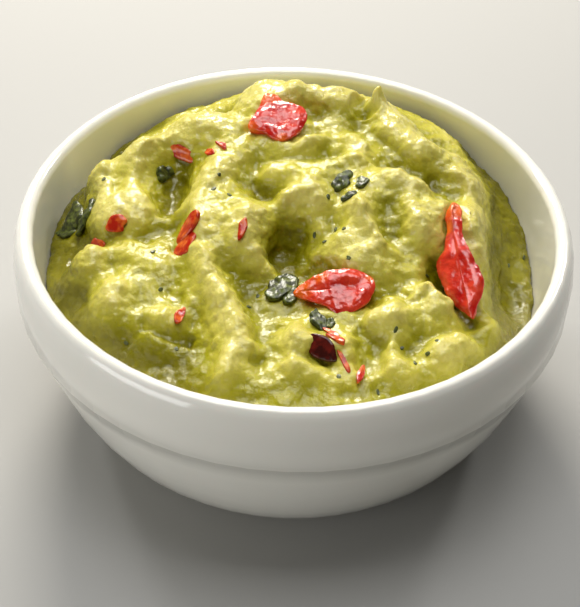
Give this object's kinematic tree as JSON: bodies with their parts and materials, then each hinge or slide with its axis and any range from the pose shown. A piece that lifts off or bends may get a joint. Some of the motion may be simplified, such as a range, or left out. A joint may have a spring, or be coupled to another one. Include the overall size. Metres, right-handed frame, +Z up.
{
  "type": "bowl of guacamole",
  "caption": "Lumpy green guacamole heaped above the rim of a small round white glazed dip bowl, with pieces of red pepper set into it.",
  "frame": {"origin": "centre of the bowl's foot, on the surface it stands on", "axes": "+Z up along the bowl's axis; -Y towards the low front of the heap and +X towards the free pocket beside it"},
  "size_m": [0.1, 0.1, 0.049],
  "materials": {
    "glazed_porcelain": "gloss",
    "guacamole": "satin",
    "red_pepper": "gloss"
  },
  "bodies": {
    "root": {"bowl": "glazed_porcelain", "guacamole": "guacamole", "pepper_top": "red_pepper", "pepper_strip": "red_pepper", "pepper_front": "red_pepper"}
  },
  "joints": []
}
